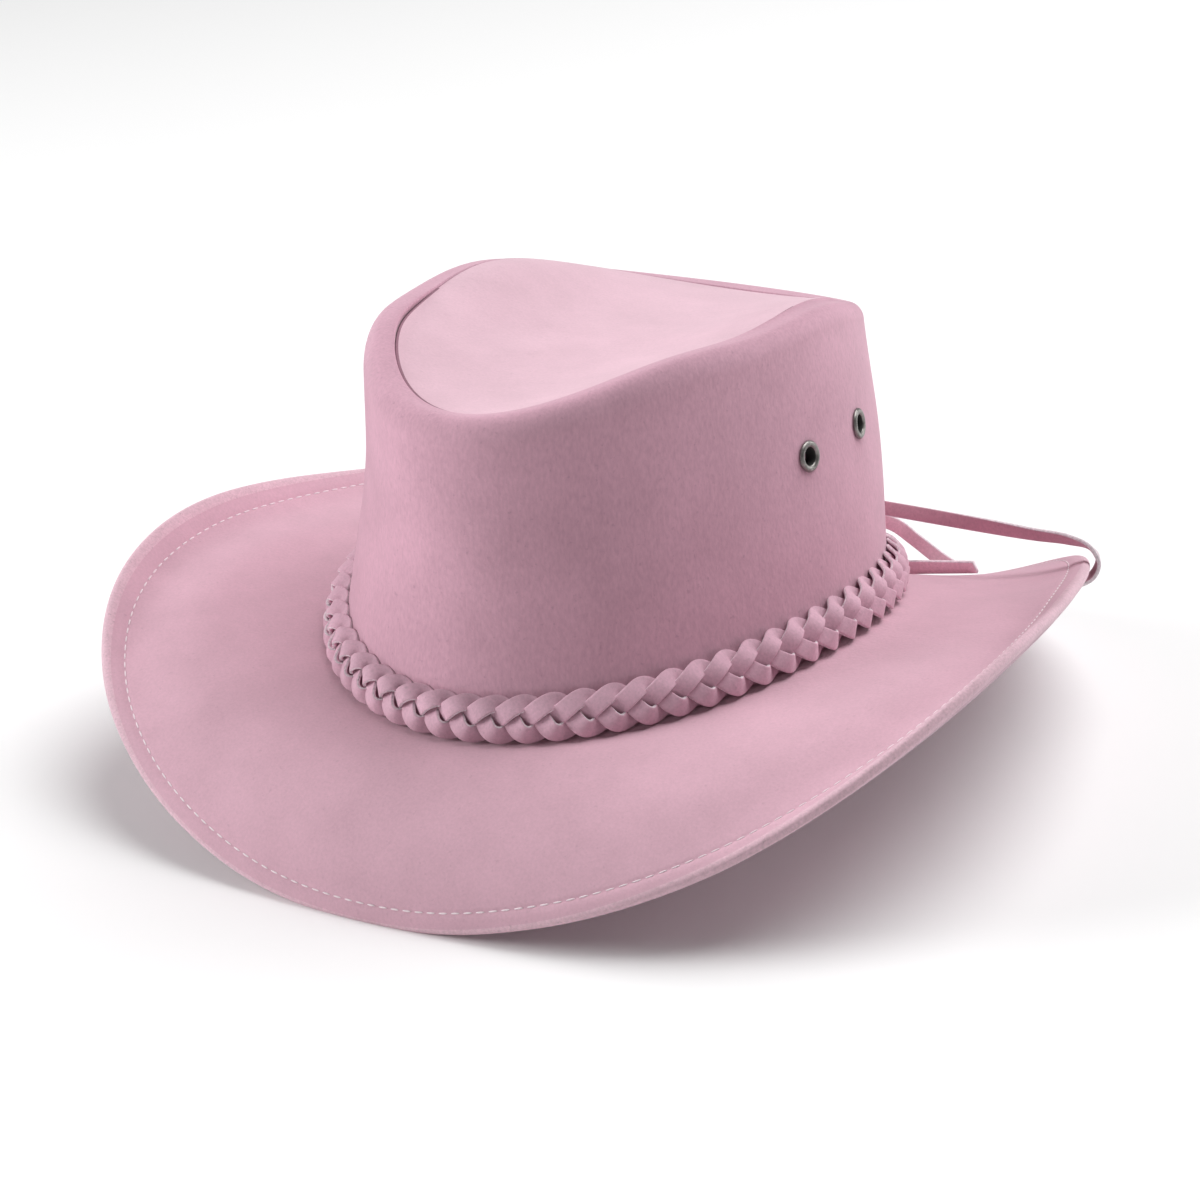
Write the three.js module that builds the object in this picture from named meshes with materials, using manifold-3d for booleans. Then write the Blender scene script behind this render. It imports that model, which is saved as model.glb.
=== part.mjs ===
// An outback hat of suede-finish leather, in millimetres, +Z up.
// The wearer faces -Y and +X is the wearer's left. The hat rests on the front and back of its brim at z = 0.
import * as THREE from "three";
import { mergeVertices } from "three/addons/utils/BufferGeometryUtils.js";
import Module from "manifold-3d";

const wasm = await Module();
wasm.setup();

// Driving dimensions
const headLength = 200; // crown base, front to back, outside the leather
const headWidth = 168; // crown base, side to side
const crownHeight = 110; // height of the crown's seam at the sides, above the brim's mean level
const brimWidth = 74; // front brim, from the crown to the edge
const leather = 2;
const clearance = 0.3; // gap between pieces that lie on each other
const crownForward = 10.3; // how far the crown sits in front of the brim's middle
const restFlat = 1.2; // how far the hem is pressed flat where the hat stands
const hemWidth = 8;
const hemThickness = 4;
const rimWidth = 10; // rolled rim of the crown, from the seam to the side wall
const rimDrop = 8; // the rim's shoulder below the seam
const topSeamDepth = 1.5; // how deep the top panel's edge lies in the seam at its deepest
const braidHeight = 14.5;
const braidThickness = 7;
const braidPitch = 9.7; // length of one lobe of the plait
const eyeletDiameter = 10;
const eyeletHole = 5.4;
const eyeletFlange = 0.9; // how far the flange stands out
const eyeletBarrel = 0.5; // wall of the tube through the leather
const washerThickness = 0.5;
const washerGap = 0.55; // from the flat washer to the curved wall inside
const eyeletSpacing = 35;
const eyeletHeight = 69; // above the brim's mean level
const eyeletCenter = 14; // how far back the middle of a pair is from the crown's middle
const laceWidth = 5;
const laceThickness = 1.5;
const knotSize = [14, 9, 12];

// The chin lace is flipped up over the back of the brim. Each row is a point of its route and the way that the
// lace's width faces there. Both laces start inside the crown, pass under the brim, round its edge and back to
// the knot behind the crown. The right one is the mirror image up to its last point.
const laceRoute = [
  [76.6, 14.6, 57, 0.2, -0.98, 0],
  [76.6, 14.9, 50.5, 0.3, -0.95, 0],
  [79.5, 18.2, 46.6, 0.7, -0.7, 0],
  [88, 31.7, 45.6, 0.88, -0.46, 0],
  [96, 47.7, 43.9, 0.88, -0.46, 0],
  [104, 63.7, 42.4, 0.88, -0.46, 0],
  [111, 77.7, 41.7, 0.88, -0.46, 0],
  [116, 86.7, 41.8, 0.8, -0.6, 0],
  [120.9, 92, 44.4, 0.57, -0.82, -0.1],
  [122.3, 93.5, 49.5, 0.5, -0.85, -0.15],
  [119.5, 92.1, 54.2, 0.35, -0.8, 0.45],
  [112, 91.3, 55.9, 0.1, -0.55, 0.83],
  [100, 91.2, 55.8, 0, -0.35, 0.94],
  [80, 92.1, 55.7, 0, 0.05, 1],
  [50, 93.2, 55.6, 0, 0.45, 0.9],
];
const leftLaceEnd = [19.6, 94.2, 55.5, 0, 0.2, 0.98];
const rightLaceEnd = [-4.7, 94.3, 55.4, 0, 0.2, 0.98];
const knotPlace = [12, 94.7, 55];
const upperTailRoute = [
  [18.6, 95.3, 49.4, 0, 0, 1],
  [30, 96.2, 49.9, 0, 0, 1],
  [45, 96, 49.3, 0, 0.1, 1],
  [52, 98.7, 43.8, 0.6, 0.1, 0.8],
  [58.5, 102.1, 37.6, 0.6, 0.2, 0.8],
  [62.5, 104.3, 34.2, 0.6, 0.2, 0.8],
];
const lowerTailRoute = [
  [12, 95.3, 48.4, 1, 0, 0],
  [14, 97.9, 42.3, 1, 0, 0.2],
  [19, 99.5, 36.4, 0.8, 0.1, 0.5],
  [29, 99.7, 31.4, 0.4, 0.2, 0.9],
  [45, 98.3, 33, 0, -0.1, 0.99],
  [60, 97.1, 35.8, 0, -0.25, 0.97],
  [76, 96.1, 38.7, 0, -0.4, 0.92],
];

const aroundSteps = 60;
const halfLength = headLength / 2;
const halfWidth = headWidth / 2;

// Each row is one station, every 30 degrees from the front (0) round to the back (180); left and right are
// alike. Lengths are shares: lift of crownHeight, width of brimWidth, dip of hemWidth. Slopes are in degrees, up
// is positive. dip is how far the brim sinks just inside its hem, which turns up there.
const brimRows = [
  { lift: -0.027, width: 1.0, slopeAtCrown: 3.4, slopeAtEdge: -88, dip: 0 },
  { lift: 0.004, width: 1.0, slopeAtCrown: 0.6, slopeAtEdge: -51.4, dip: 0.1 },
  { lift: 0.054, width: 1.045, slopeAtCrown: 6, slopeAtEdge: 4.2, dip: 0.56 },
  { lift: 0.087, width: 0.907, slopeAtCrown: 0.5, slopeAtEdge: 28.6, dip: 0.56 },
  { lift: 0.063, width: 0.862, slopeAtCrown: -10.7, slopeAtEdge: 23.8, dip: 0.1 },
  { lift: -0.038, width: 1.036, slopeAtCrown: -19.1, slopeAtEdge: 6.2, dip: 0 },
  { lift: -0.143, width: 1.061, slopeAtCrown: -20.4, slopeAtEdge: -18.9, dip: 0 },
];
const brimBend = 1.2; // how late across the brim its slope changes
const dipReach = 4.5 * hemWidth; // how far in from the edge the dip reaches

// The seam of the top panel. across is a share of half the head's width, along of half its length, height of
// crownHeight. roll is how far the rim's crest stands over the seam, swell how far the wall swells out halfway
// up and ridge how far the top panel swells up beside the seam, all as shares of rimWidth. sunk is how deep the
// top panel's edge lies, a share of topSeamDepth.
const seamRows = [
  { across: 0, along: -0.88, height: 0.893, roll: 0.05, swell: -0.2, ridge: 0, sunk: 0.25 },
  { across: 0.429, along: -0.664, height: 0.959, roll: 0.05, swell: -0.22, ridge: 0, sunk: 0.5 },
  { across: 0.625, along: -0.35, height: 1, roll: 0.05, swell: -0.22, ridge: 0.08, sunk: 1 },
  { across: 0.696, along: -0.02, height: 1.006, roll: -0.09, swell: -0.05, ridge: 0.16, sunk: 0.3 },
  { across: 0.667, along: 0.34, height: 0.982, roll: -0.15, swell: 0.18, ridge: 0.2, sunk: 0 },
  { across: 0.476, along: 0.72, height: 0.871, roll: -0.15, swell: 0.24, ridge: 0.1, sunk: 0 },
  { across: 0, along: 0.87, height: 0.819, roll: -0.06, swell: 0.2, ridge: 0, sunk: 0.3 },
];
const topHollow = 0.882; // height of the top panel's middle, a share of crownHeight
const topMiddle = -0.04; // where that middle is, a share of half the head's length
const topBowl = 2.2; // how late the top panel rises from its middle to the seam
const ridgeBend = 4; // how near the seam the top panel's ridge stands
const crestPlace = 0.45; // the rim's crest, a share of rimWidth out from the seam
const lobeRelief = 0.12; // how far the plait's lobes stand out, a share of braidThickness
const lipDepth = leather / 4; // the top panel's edge below the seam where it isn't sunk

// Where the sections have their points, as shares of the way from the inner end to the outer one.
const brimShares = [0.11, 0.26, 0.43, 0.6, 0.76];
const wallShares = [0, 0.12, 0.27, 0.42, 0.57, 0.72, 0.87];
const wallInsideShares = [0.72, 0.42, 0.15, 0];
const topShares = [0.4, 0.72, 0.85, 0.93, 1];

// A smooth wave through values set every 30 degrees, the same on both sides (even) or mirrored (odd).
function evenWave(rows, column, scale) {
  const last = rows.length - 1;
  const share = (index) => (index === 0 || index === last ? 0.5 : 1);
  const waves = rows.map((_, wave) => {
    const sum = rows.reduce(
      (total, row, index) => total + share(index) * row[column] * Math.cos((Math.PI * wave * index) / last),
      0,
    );
    return (2 * share(wave) * sum * scale) / last;
  });
  return (angle) => waves.reduce((total, size, wave) => total + size * Math.cos(wave * angle), 0);
}

function oddWave(rows, column, scale) {
  const last = rows.length - 1;
  const waves = rows.map((_, wave) => {
    const sum = rows.reduce(
      (total, row, index) => total + row[column] * Math.sin((Math.PI * wave * index) / last),
      0,
    );
    return (2 * sum * scale) / last;
  });
  return (angle) => waves.reduce((total, size, wave) => total + size * Math.sin(wave * angle), 0);
}

const brimLift = evenWave(brimRows, "lift", crownHeight);
const brimSpan = evenWave(brimRows, "width", brimWidth);
const slopeAtCrown = evenWave(brimRows, "slopeAtCrown", Math.PI / 180);
const slopeAtEdge = evenWave(brimRows, "slopeAtEdge", Math.PI / 180);
const brimDip = evenWave(brimRows, "dip", hemWidth);
const seamAcross = oddWave(seamRows, "across", halfWidth);
const seamAlong = evenWave(seamRows, "along", halfLength);
const seamHeight = evenWave(seamRows, "height", crownHeight);
const rimRoll = evenWave(seamRows, "roll", rimWidth);
const wallSwell = evenWave(seamRows, "swell", rimWidth);
const topRidge = evenWave(seamRows, "ridge", rimWidth);
const topSunk = evenWave(seamRows, "sunk", topSeamDepth);

// The crown's base: a point of the ring and the way out from it, at an angle from the front.
function basePoint(angle, out = 0) {
  const normal = new THREE.Vector2(Math.sin(angle) / halfWidth, -Math.cos(angle) / halfLength).normalize();
  const point = new THREE.Vector2(halfWidth * Math.sin(angle), -halfLength * Math.cos(angle));
  return point.addScaledVector(normal, out);
}

// How high the dip leaves the brim at an inset from its edge: lowest just inside the hem, level at the edge.
function dipLift(angle, inset) {
  const share = THREE.MathUtils.clamp(inset / dipReach, 0, 1);
  return -Math.max(brimDip(angle), 0) * Math.sin(Math.PI * Math.sqrt(share)) ** 2;
}

// The middle of the brim's leather, as distance out from the ring, height and slope.
function brimLine(angle, distance) {
  const pieces = 16;
  const span = brimSpan(angle);
  const start = slopeAtCrown(angle);
  const change = slopeAtEdge(angle) - start;
  const line = { out: 0, height: brimLift(angle), slope: start };
  for (let piece = 0; piece < pieces; piece += 1) {
    const reached = (distance * (piece + 0.5)) / pieces;
    line.slope = start + change * Math.max(reached / span, 0) ** brimBend;
    line.out += (Math.cos(line.slope) * distance) / pieces;
    line.height += (Math.sin(line.slope) * distance) / pieces;
  }
  const inset = span - distance;
  const step = leather / 4;
  const steeper = (dipLift(angle, inset - step) - dipLift(angle, inset + step)) / (2 * step);
  line.slope = start + change * Math.max(distance / span, 0) ** brimBend + Math.atan(steeper);
  line.height += dipLift(angle, inset);
  return line;
}

// A point of the brim, offset from the middle of the leather along its normal.
function brimPoint(angle, distance, offset) {
  const line = brimLine(angle, distance);
  const flat = basePoint(angle, line.out - Math.sin(line.slope) * offset);
  return new THREE.Vector3(flat.x, flat.y, line.height + Math.cos(line.slope) * offset);
}

function brimTop(angle, distance) {
  return brimPoint(angle, distance, leather / 2).z;
}

// The brim's section at an angle: over the top, round the hem's edge and back underneath.
function brimSection(angle) {
  const span = brimSpan(angle);
  const half = leather / 2;
  const round = hemThickness / 2;
  const plain = span - hemWidth;
  const inner = -(leather + 2 * clearance);
  const middle = brimShares.map((share) => share * span);
  const top = [inner, 0, ...middle, plain, span - round];
  const under = [0, ...middle].reverse();
  const points = top.map((distance) => brimPoint(angle, distance, half));
  for (const turn of [45, 90, 135]) {
    const way = THREE.MathUtils.degToRad(turn);
    const offset = half - round + round * Math.cos(way);
    points.push(brimPoint(angle, span - round + round * Math.sin(way), offset));
  }
  points.push(brimPoint(angle, span - round, half - hemThickness));
  points.push(brimPoint(angle, plain, half - hemThickness));
  points.push(brimPoint(angle, plain - half, -half));
  points.push(...under.map((distance) => brimPoint(angle, distance, -half)));
  points.push(brimPoint(angle, inner, -half));
  return points;
}

// The surface that the hat stands on, in the crown's own heights.
const lowest = [0, Math.PI].map((angle) => Math.min(...brimSection(angle).map((point) => point.z)));
const floor = Math.max(...lowest) + restFlat;

// The seam curve, moved out by a distance in plan.
function seamPoint(angle, out = 0) {
  const step = 0.001;
  const along = new THREE.Vector2(
    seamAcross(angle + step) - seamAcross(angle - step),
    seamAlong(angle + step) - seamAlong(angle - step),
  ).normalize();
  return new THREE.Vector2(seamAcross(angle) + along.y * out, seamAlong(angle) - along.x * out);
}

// A point of the crown's side wall. rise runs from 0 at the brim to 1 at the rim's shoulder.
function wallPoint(angle, rise, inward = 0) {
  const foot = basePoint(angle, -inward);
  const shoulder = seamPoint(angle, rimWidth - inward);
  const swell = wallSwell(angle) * Math.sin(Math.PI * rise);
  const normal = basePoint(angle, 1).sub(basePoint(angle));
  const flat = foot.lerp(shoulder, rise).addScaledVector(normal, swell);
  const low = brimTop(angle, -inward) + clearance;
  const high = seamHeight(angle) - rimDrop;
  return new THREE.Vector3(flat.x, flat.y, THREE.MathUtils.lerp(low, high, rise));
}

// A point of the rolled rim: a quarter ellipse from its crest down to the shoulder.
const rimCrest = crestPlace * rimWidth;
function rimPoint(angle, turn, inward = 0) {
  const out = rimCrest + (rimWidth - rimCrest - inward) * Math.sin(turn);
  const up = -rimDrop + (rimDrop + rimRoll(angle) - inward) * Math.cos(turn);
  const flat = seamPoint(angle, out);
  return new THREE.Vector3(flat.x, flat.y, seamHeight(angle) + up);
}

// The lip inside the crest, down to the seam.
function lipPoint(angle, turn, inward = 0) {
  const out = rimCrest * (1 - Math.cos(turn));
  const up = -lipDepth + (lipDepth + rimRoll(angle)) * Math.sin(turn) - inward;
  const flat = seamPoint(angle, out);
  return new THREE.Vector3(flat.x, flat.y, seamHeight(angle) + up);
}

function wallSection(angle) {
  const turns = [90, 60, 30, 0].map(THREE.MathUtils.degToRad);
  const outside = wallShares.map((rise) => wallPoint(angle, rise));
  const rim = turns.map((turn) => rimPoint(angle, turn));
  const lip = [45, 0].map((turn) => lipPoint(angle, THREE.MathUtils.degToRad(turn)));
  const underLip = lipPoint(angle, 0, leather);
  const underRim = [0, 45, 90].map((turn) => rimPoint(angle, THREE.MathUtils.degToRad(turn), leather));
  const inside = wallInsideShares.map((rise) => wallPoint(angle, rise, leather));
  return [...outside, ...rim, ...lip, underLip, ...underRim, ...inside];
}

// The top panel: a softly hollow sheet from its middle (share 0) to the seam (share 1).
function topPoint(angle, share, under = 0) {
  const middle = new THREE.Vector2(0, topMiddle * halfLength);
  const edge = seamPoint(angle, -clearance);
  const flat = middle.clone().lerp(edge, share);
  const edgeHeight = seamHeight(angle) - lipDepth - topSunk(angle);
  const bowl = THREE.MathUtils.lerp(topHollow * crownHeight, edgeHeight, share ** topBowl);
  const swell = topRidge(angle) * Math.sin(Math.PI * share ** ridgeBend);
  return new THREE.Vector3(flat.x, flat.y, bowl + swell - under);
}

// The plaited band's section, with the relief of two rows of lobes that lean opposite ways.
function braidSection(angle, lobePhase) {
  const stands = lobeRelief * braidThickness;
  const upper = stands * (0.5 + 0.5 * Math.cos(lobePhase));
  const lower = stands - upper;
  const high = braidHeight;
  const thick = braidThickness;
  const rows = [
    { out: 0, up: 0.08 },
    { out: 0, up: 0.92 },
    { out: 0.25, up: 1 },
    { out: 0.8, up: 0.9, relief: upper },
    { out: 1, up: 0.72, relief: upper },
    { out: 0.86, up: 0.5 },
    { out: 1, up: 0.28, relief: lower },
    { out: 0.8, up: 0.1, relief: lower },
    { out: 0.25, up: 0 },
  ];
  const wallHeight = seamHeight(angle) - rimDrop - brimTop(angle, 0);
  const normal = basePoint(angle, 1).sub(basePoint(angle));
  return rows.map(({ out, up, relief = 0 }) => {
    const height = up * high;
    const wall = wallPoint(angle, height / wallHeight);
    const distance = clearance + out * thick - relief;
    const flat = new THREE.Vector2(wall.x, wall.y).addScaledVector(normal, distance);
    return new THREE.Vector3(flat.x, flat.y, brimTop(angle, distance) + clearance + height);
  });
}

// Builds a closed mesh from vertices and triangles, with its faces pointing out.
function closedMesh(name, vertices, triangles, material, standing = true) {
  const shift = standing ? new THREE.Vector3(0, -crownForward, -floor) : new THREE.Vector3();
  const placed = vertices.map((point) => point.clone().add(shift));
  const volume = triangles.reduce((total, [a, b, c]) => {
    const normal = placed[b].clone().cross(placed[c]);
    return total + placed[a].dot(normal);
  }, 0);
  const order = volume < 0 ? triangles.map(([a, b, c]) => [a, c, b]) : triangles;
  const geometry = new THREE.BufferGeometry().setFromPoints(placed);
  geometry.setIndex(order.flat());
  const mesh = new THREE.Mesh(geometry, material);
  mesh.name = name;
  return mesh;
}

// A ring-shaped solid: one closed section for each of a number of steps round the crown.
function ringSolid(name, sectionAt, steps, material, lowestHeight = -Infinity) {
  const vertices = [];
  const triangles = [];
  let count = 0;
  for (let step = 0; step < steps; step += 1) {
    const section = sectionAt((2 * Math.PI * step) / steps, step);
    count = section.length;
    vertices.push(...section.map((point) => point.setZ(Math.max(point.z, lowestHeight))));
  }
  for (let step = 0; step < steps; step += 1) {
    const next = (step + 1) % steps;
    for (let index = 0; index < count; index += 1) {
      const after = (index + 1) % count;
      const corners = [step * count + index, step * count + after, next * count + after, next * count + index];
      triangles.push([corners[0], corners[1], corners[2]], [corners[0], corners[2], corners[3]]);
    }
  }
  return closedMesh(name, vertices, triangles, material);
}

function topPanel(material) {
  const upper = topShares.map((share) => [share, 0]);
  const lower = topShares.map((share) => [share, leather]).reverse();
  const rings = [...upper, ...lower];
  const vertices = rings.flatMap(([share, under]) =>
    Array.from({ length: aroundSteps }, (_, step) => topPoint((2 * Math.PI * step) / aroundSteps, share, under)),
  );
  const upperMiddle = vertices.push(topPoint(0, 0, 0)) - 1;
  const lowerMiddle = vertices.push(topPoint(0, 0, leather)) - 1;
  const triangles = [];
  const lastRing = (rings.length - 1) * aroundSteps;
  for (let step = 0; step < aroundSteps; step += 1) {
    const next = (step + 1) % aroundSteps;
    triangles.push([upperMiddle, step, next], [lowerMiddle, lastRing + next, lastRing + step]);
    for (let ring = 0; ring < rings.length - 1; ring += 1) {
      const inner = ring * aroundSteps;
      const outer = inner + aroundSteps;
      triangles.push([inner + step, outer + step, outer + next], [inner + step, outer + next, inner + next]);
    }
  }
  return closedMesh("crown_top", vertices, triangles, material);
}

// Where an eyelet sits: the wall's point at a height and distance back, and the way out of the wall.
function eyeletSeat(side, along) {
  const target = new THREE.Vector2(along, eyeletHeight);
  const seat = { angle: Math.PI / 2, rise: 0.6 };
  for (let pass = 0; pass < 12; pass += 1) {
    const here = wallPoint(seat.angle, seat.rise);
    const byRise = wallPoint(seat.angle, seat.rise + 0.01).z - here.z;
    const byAngle = wallPoint(seat.angle + 0.01, seat.rise).y - here.y;
    seat.rise += (0.01 * (target.y - here.z)) / byRise;
    seat.angle += (0.01 * (target.x - here.y)) / byAngle;
  }
  const point = wallPoint(side * seat.angle, seat.rise);
  const around = wallPoint(side * seat.angle + 0.02, seat.rise).sub(point);
  const upward = wallPoint(side * seat.angle, seat.rise + 0.02).sub(point);
  const outward = around.cross(upward).normalize();
  outward.multiplyScalar(Math.sign(outward.x) * side);
  return { point: point.add(new THREE.Vector3(0, -crownForward, -floor)), outward };
}

// A flat or round-sided body turned about the eyelet's own axis, then stood on the wall.
function turnedBody(profile, seat, material, name) {
  const geometry = new THREE.LatheGeometry(
    profile.map(([radius, height]) => new THREE.Vector2(radius, height)),
    14,
  );
  const body = new THREE.Mesh(asClosed(geometry), material);
  body.name = name;
  body.position.copy(seat.point);
  body.quaternion.setFromUnitVectors(new THREE.Vector3(0, 1, 0), seat.outward);
  return body;
}

function asClosed(geometry) {
  geometry.deleteAttribute("normal");
  geometry.deleteAttribute("uv");
  return mergeVertices(geometry, 1e-4);
}

function eyelet(name, seat, material) {
  const bore = eyeletHole / 2;
  const barrel = bore + eyeletBarrel;
  const flange = eyeletDiameter / 2;
  const washer = 0.85 * flange;
  const inside = -(leather + washerGap);
  const profile = [
    [bore, inside - washerThickness],
    [washer, inside - washerThickness],
    [washer, inside],
    [barrel, inside],
    [barrel, clearance],
    [flange, clearance],
    [0.8 * flange, clearance + eyeletFlange],
    [bore, clearance + 0.6 * eyeletFlange],
    [bore, inside - washerThickness],
  ];
  return turnedBody(profile, seat, material, name);
}

function toSolid(mesh) {
  mesh.updateMatrixWorld(true);
  const geometry = mesh.geometry.clone().applyMatrix4(mesh.matrixWorld);
  const corners = new Float32Array(geometry.attributes.position.array);
  const triVerts = new Uint32Array(geometry.index.array);
  return new wasm.Manifold(new wasm.Mesh({ numProp: 3, vertProperties: corners, triVerts }));
}

function fromSolid(solid) {
  const mesh = solid.getMesh();
  const geometry = new THREE.BufferGeometry();
  geometry.setAttribute("position", new THREE.BufferAttribute(new Float32Array(mesh.vertProperties), 3));
  geometry.setIndex(Array.from(mesh.triVerts));
  return geometry;
}

function pierceWall(wall, seats) {
  const radius = eyeletHole / 2 + eyeletBarrel + clearance;
  const reach = 3 * leather;
  const drill = [
    [0, -reach],
    [radius, -reach],
    [radius, reach],
    [0, reach],
  ];
  const solid = seats.reduce(
    (left, seat) => left.subtract(toSolid(turnedBody(drill, seat, wall.material, "drill"))),
    toSolid(wall),
  );
  wall.geometry = fromSolid(solid);
}

// A flat lace along a route. Each row of the route is a point and the way that the lace's width faces there.
function lace(name, route, steps, material, mirror = 1) {
  const points = route.map(([x, y, z]) => new THREE.Vector3(mirror * x, y, z));
  const widths = route.map((row) => new THREE.Vector3(mirror * row[3], row[4], row[5]));
  const path = new THREE.CatmullRomCurve3(points, false, "centripetal");
  const facing = new THREE.CatmullRomCurve3(widths, false, "centripetal");
  path.computeFrenetFrames = (count) => {
    const frames = { tangents: [], normals: [], binormals: [] };
    for (let step = 0; step <= count; step += 1) {
      const place = path.getUtoTmapping(step / count);
      const tangent = path.getTangent(place);
      const width = facing.getPoint(place);
      width.addScaledVector(tangent, -width.dot(tangent)).normalize();
      frames.tangents.push(tangent);
      frames.normals.push(width);
      frames.binormals.push(tangent.clone().cross(width));
    }
    return frames;
  };
  const wide = laceWidth / 2;
  const thick = laceThickness / 2;
  const corner = 0.3 * thick;
  const outline = new THREE.Shape([
    new THREE.Vector2(wide, -thick + corner),
    new THREE.Vector2(wide, thick - corner),
    new THREE.Vector2(wide - corner, thick),
    new THREE.Vector2(corner - wide, thick),
    new THREE.Vector2(-wide, thick - corner),
    new THREE.Vector2(-wide, corner - thick),
    new THREE.Vector2(corner - wide, -thick),
    new THREE.Vector2(wide - corner, -thick),
  ]);
  const geometry = new THREE.ExtrudeGeometry(outline, { steps, bevelEnabled: false, extrudePath: path });
  const mesh = new THREE.Mesh(asClosed(geometry), material);
  mesh.name = name;
  return mesh;
}

const leatherLook = (color, roughness) => new THREE.MeshStandardMaterial({ color, roughness, metalness: 0 });
const crownLook = leatherLook(0xd9aabb, 0.95);
const brimLook = leatherLook(0xd4a4b6, 0.95);
const braidLook = leatherLook(0xcf9fb1, 0.9);
const laceLook = leatherLook(0xc08a9c, 0.9);
const metalLook = new THREE.MeshStandardMaterial({ color: 0x6e6a66, roughness: 0.4, metalness: 0.9 });

const hat = new THREE.Group();

hat.add(ringSolid("brim", brimSection, aroundSteps, brimLook, floor));

const seats = [];
for (const [sideName, side] of [["left", 1], ["right", -1]]) {
  for (const [placeName, way] of [["front", -1], ["back", 1]]) {
    const seat = eyeletSeat(side, eyeletCenter + (way * eyeletSpacing) / 2);
    seats.push(seat);
    hat.add(eyelet(`eyelet_${sideName}_${placeName}`, seat, metalLook));
  }
}

const crownSide = ringSolid("crown_side", wallSection, aroundSteps, crownLook);
pierceWall(crownSide, seats);
hat.add(crownSide);
hat.add(topPanel(crownLook));

const braidRound = Math.PI * (halfLength + halfWidth + braidThickness);
const lobes = Math.round(braidRound / braidPitch);
const braidBand = ringSolid(
  "braid_band",
  (angle, step) => braidSection(angle, Math.PI * step),
  2 * lobes,
  braidLook,
);
hat.add(braidBand);

hat.add(lace("chin_lace_left", [...laceRoute, leftLaceEnd], 42, laceLook));
hat.add(lace("chin_lace_right", [...laceRoute, rightLaceEnd], 44, laceLook, -1));
hat.add(lace("lace_tail_upper", upperTailRoute, 12, laceLook));
hat.add(lace("lace_tail_lower", lowerTailRoute, 16, laceLook));

const knot = new THREE.Mesh(asClosed(new THREE.SphereGeometry(0.5, 10, 7)), laceLook);
knot.geometry.scale(...knotSize);
knot.name = "lace_knot";
knot.position.set(...knotPlace);
hat.add(knot);

export default hat;
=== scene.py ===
"""An outback hat of pink suede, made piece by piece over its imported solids. Lengths are in metres."""
import math
from functools import lru_cache

import bmesh
import bpy
from mathutils import Matrix, Vector, noise


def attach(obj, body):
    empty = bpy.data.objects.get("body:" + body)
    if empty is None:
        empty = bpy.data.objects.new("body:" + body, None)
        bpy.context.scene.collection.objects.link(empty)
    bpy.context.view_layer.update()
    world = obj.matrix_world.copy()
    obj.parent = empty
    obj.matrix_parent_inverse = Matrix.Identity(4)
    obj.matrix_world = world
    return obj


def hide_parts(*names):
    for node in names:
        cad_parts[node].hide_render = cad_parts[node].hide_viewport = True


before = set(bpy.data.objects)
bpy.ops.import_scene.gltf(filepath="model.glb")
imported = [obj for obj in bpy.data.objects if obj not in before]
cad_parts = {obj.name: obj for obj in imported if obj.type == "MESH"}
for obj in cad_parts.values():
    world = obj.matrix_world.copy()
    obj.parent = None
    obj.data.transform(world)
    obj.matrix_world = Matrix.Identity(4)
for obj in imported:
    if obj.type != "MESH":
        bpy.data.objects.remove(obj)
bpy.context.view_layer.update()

# The camera stands in front of the hat, on the wearer's left and a little above the crown, with a long lens. It
# looks at the foot of the crown.
camera_turn, camera_lift, camera_roll = (math.radians(turn) for turn in (31.873, 20.712, 2.049))
camera_distance = 1.3
looked_at = Vector((0, -0.0103, 0.0498))
to_camera = Vector((
    math.sin(camera_turn) * math.cos(camera_lift),
    -math.cos(camera_turn) * math.cos(camera_lift),
    math.sin(camera_lift),
))
level_right = Vector((math.cos(camera_turn), math.sin(camera_turn), 0))
level_up = to_camera.cross(level_right)
camera_right = level_right * math.cos(camera_roll) - level_up * math.sin(camera_roll)
camera_up = level_up * math.cos(camera_roll) + level_right * math.sin(camera_roll)
lens = bpy.data.cameras.new("camera")
lens.lens = 120.26
lens.sensor_width = 36
lens.shift_x = -0.0153
lens.shift_y = 0.0014
lens.clip_start = 0.05
camera = bpy.data.objects.new("camera", lens)
bpy.context.collection.objects.link(camera)
turned = Matrix((camera_right, camera_up, to_camera)).transposed().to_4x4()
camera.matrix_world = Matrix.Translation(looked_at + to_camera * camera_distance) @ turned
bpy.context.scene.camera = camera

# The chin lace is a flat strip cut from the same hide, suede on both faces with pale raw edges. Its two halves
# leave the crown, run under the brim, fold over its edge and come back above it to the knot behind the crown.
# Each stop of a route is a point, and then the way that the strip's width faces there.
lace_width = 0.005
lace_thickness = 0.0015
lace_stops = [
    (0.0766, 0.0146, 0.0570, 0.20, -0.98, 0),
    (0.0766, 0.0149, 0.0505, 0.30, -0.95, 0),
    (0.0795, 0.0182, 0.0466, 0.70, -0.70, 0),
    (0.0880, 0.0317, 0.0456, 0.88, -0.46, 0),
    (0.0960, 0.0477, 0.0439, 0.88, -0.46, 0),
    (0.1040, 0.0637, 0.0424, 0.88, -0.46, 0),
    (0.1110, 0.0777, 0.0417, 0.88, -0.46, 0),
    (0.1160, 0.0867, 0.0418, 0.80, -0.60, 0),
    (0.1209, 0.0920, 0.0444, 0.57, -0.82, -0.10),
    (0.1223, 0.0935, 0.0495, 0.50, -0.85, -0.15),
    (0.1195, 0.0921, 0.0542, 0.35, -0.80, 0.45),
    (0.1120, 0.0913, 0.0559, 0.10, -0.55, 0.83),
    (0.1000, 0.0912, 0.0558, 0, -0.35, 0.94),
    (0.0800, 0.0921, 0.0557, 0, 0.05, 1),
    (0.0500, 0.0932, 0.0556, 0, 0.45, 0.90),
]
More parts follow.
